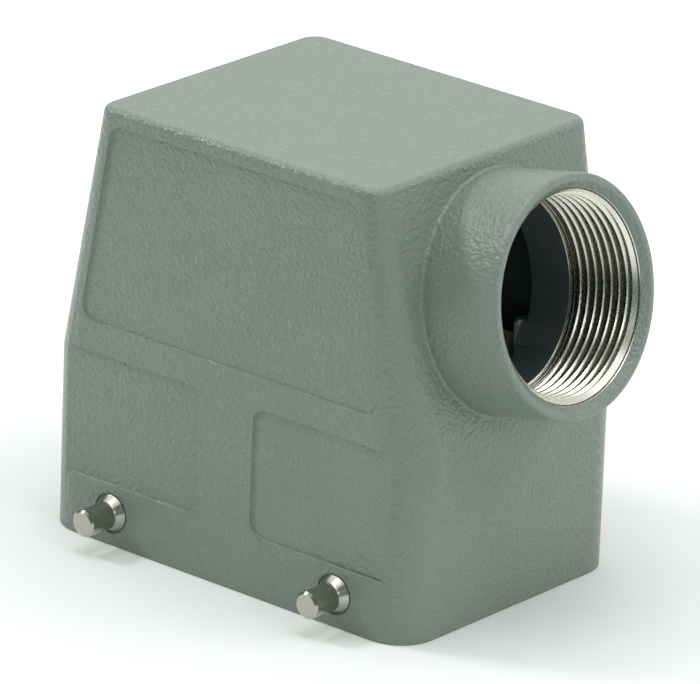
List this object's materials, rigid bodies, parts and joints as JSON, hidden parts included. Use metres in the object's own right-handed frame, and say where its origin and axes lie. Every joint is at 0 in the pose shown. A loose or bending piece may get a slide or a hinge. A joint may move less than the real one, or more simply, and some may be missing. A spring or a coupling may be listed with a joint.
{
  "type": "heavy duty rectangular connector",
  "caption": "Die-cast rectangular connector hood with leaning end walls, round threaded side cable entry, locking pegs at the rim and a screw-terminal contact insert inside.",
  "frame": {"origin": "centre of the rim, in the plane that the hood stands on and mates in", "axes": "+X along the hood towards the cable entry, +Y across it, +Z from the rim up to the roof"},
  "size_m": [0.0861, 0.0632, 0.0704],
  "materials": {
    "powder_coat": "orange-peel powder coat on die-cast aluminium",
    "stainless": "turned",
    "moulding": "glass-filled moulding",
    "contact_silver": "silver-plated copper alloy",
    "zinc_screw": "bright zinc",
    "earth_plate": "zinc-plated pressing"
  },
  "bodies": {
    "root": {"hood": "powder_coat", "insert_body": "moulding", "locking_peg_1": "stainless", "locking_peg_2": "stainless", "locking_peg_3": "stainless", "locking_peg_4": "stainless", "contact_1": "contact_silver", "contact_2": "contact_silver", "contact_3": "contact_silver", "contact_4": "contact_silver", "contact_5": "contact_silver", "contact_6": "contact_silver", "contact_7": "contact_silver", "contact_8": "contact_silver", "contact_9": "contact_silver", "contact_10": "contact_silver", "terminal_screw_1": "zinc_screw", "terminal_screw_2": "zinc_screw", "terminal_screw_3": "zinc_screw", "terminal_screw_4": "zinc_screw", "terminal_screw_5": "zinc_screw", "terminal_screw_6": "zinc_screw", "terminal_screw_7": "zinc_screw", "terminal_screw_8": "zinc_screw", "terminal_screw_9": "zinc_screw", "terminal_screw_10": "zinc_screw", "earth_plate_1": "earth_plate", "earth_plate_2": "earth_plate", "earth_screw_1": "zinc_screw", "earth_screw_2": "zinc_screw", "fixing_screw_1": "zinc_screw", "fixing_screw_2": "zinc_screw", "fixing_screw_3": "zinc_screw", "fixing_screw_4": "zinc_screw"}
  },
  "joints": []
}
